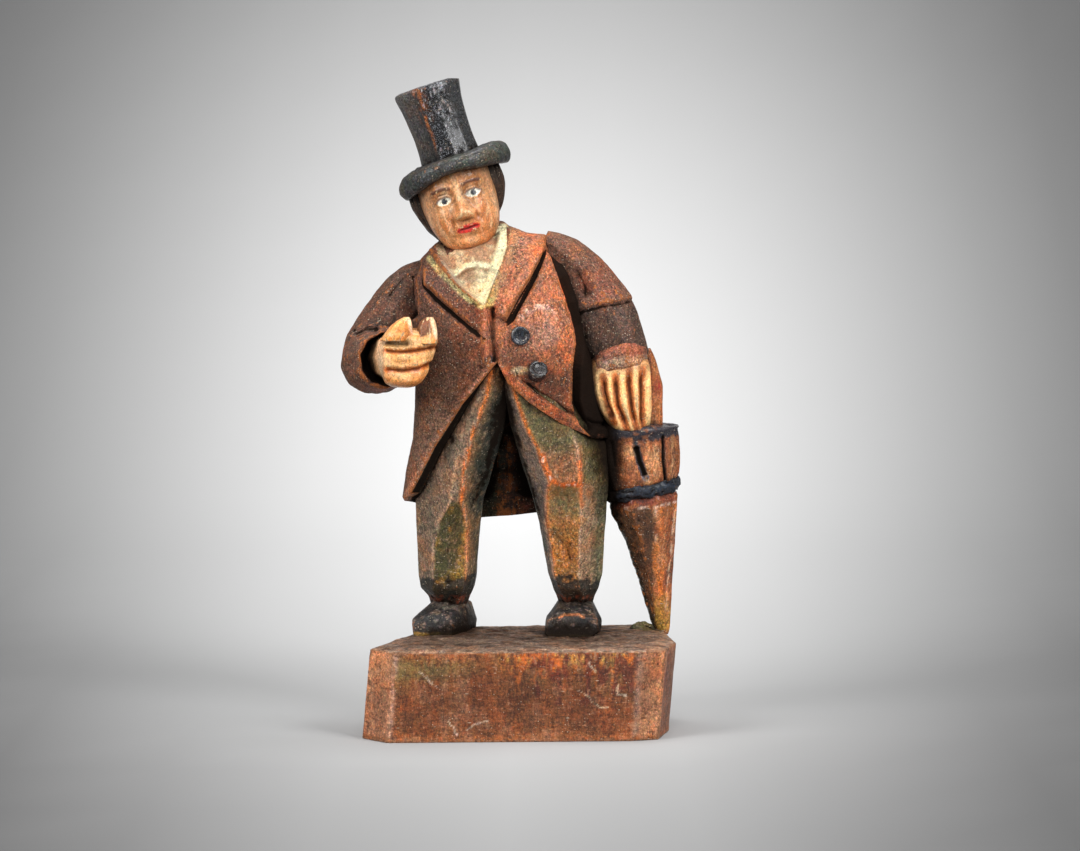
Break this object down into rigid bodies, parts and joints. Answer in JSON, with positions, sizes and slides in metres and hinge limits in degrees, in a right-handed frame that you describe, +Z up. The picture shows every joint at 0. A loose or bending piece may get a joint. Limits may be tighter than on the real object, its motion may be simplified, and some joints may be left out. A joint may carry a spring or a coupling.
{
  "type": "carved wooden figurine",
  "caption": "Small hand-carved and painted wooden figurine of a man in a top hat and tail coat, leaning on a rolled umbrella, on a solid block base.",
  "frame": {"origin": "on the underside of the base block, under the middle of the whole figurine's box", "axes": "+Z up, +X to the right seen from the front, the man faces -Y"},
  "size_m": [0.0522, 0.03, 0.1],
  "materials": {
    "painted_wood": "hand-painted and varnished carved wood, worn on its edges"
  },
  "bodies": {
    "root": {"carved_man": "painted_wood"}
  },
  "joints": []
}
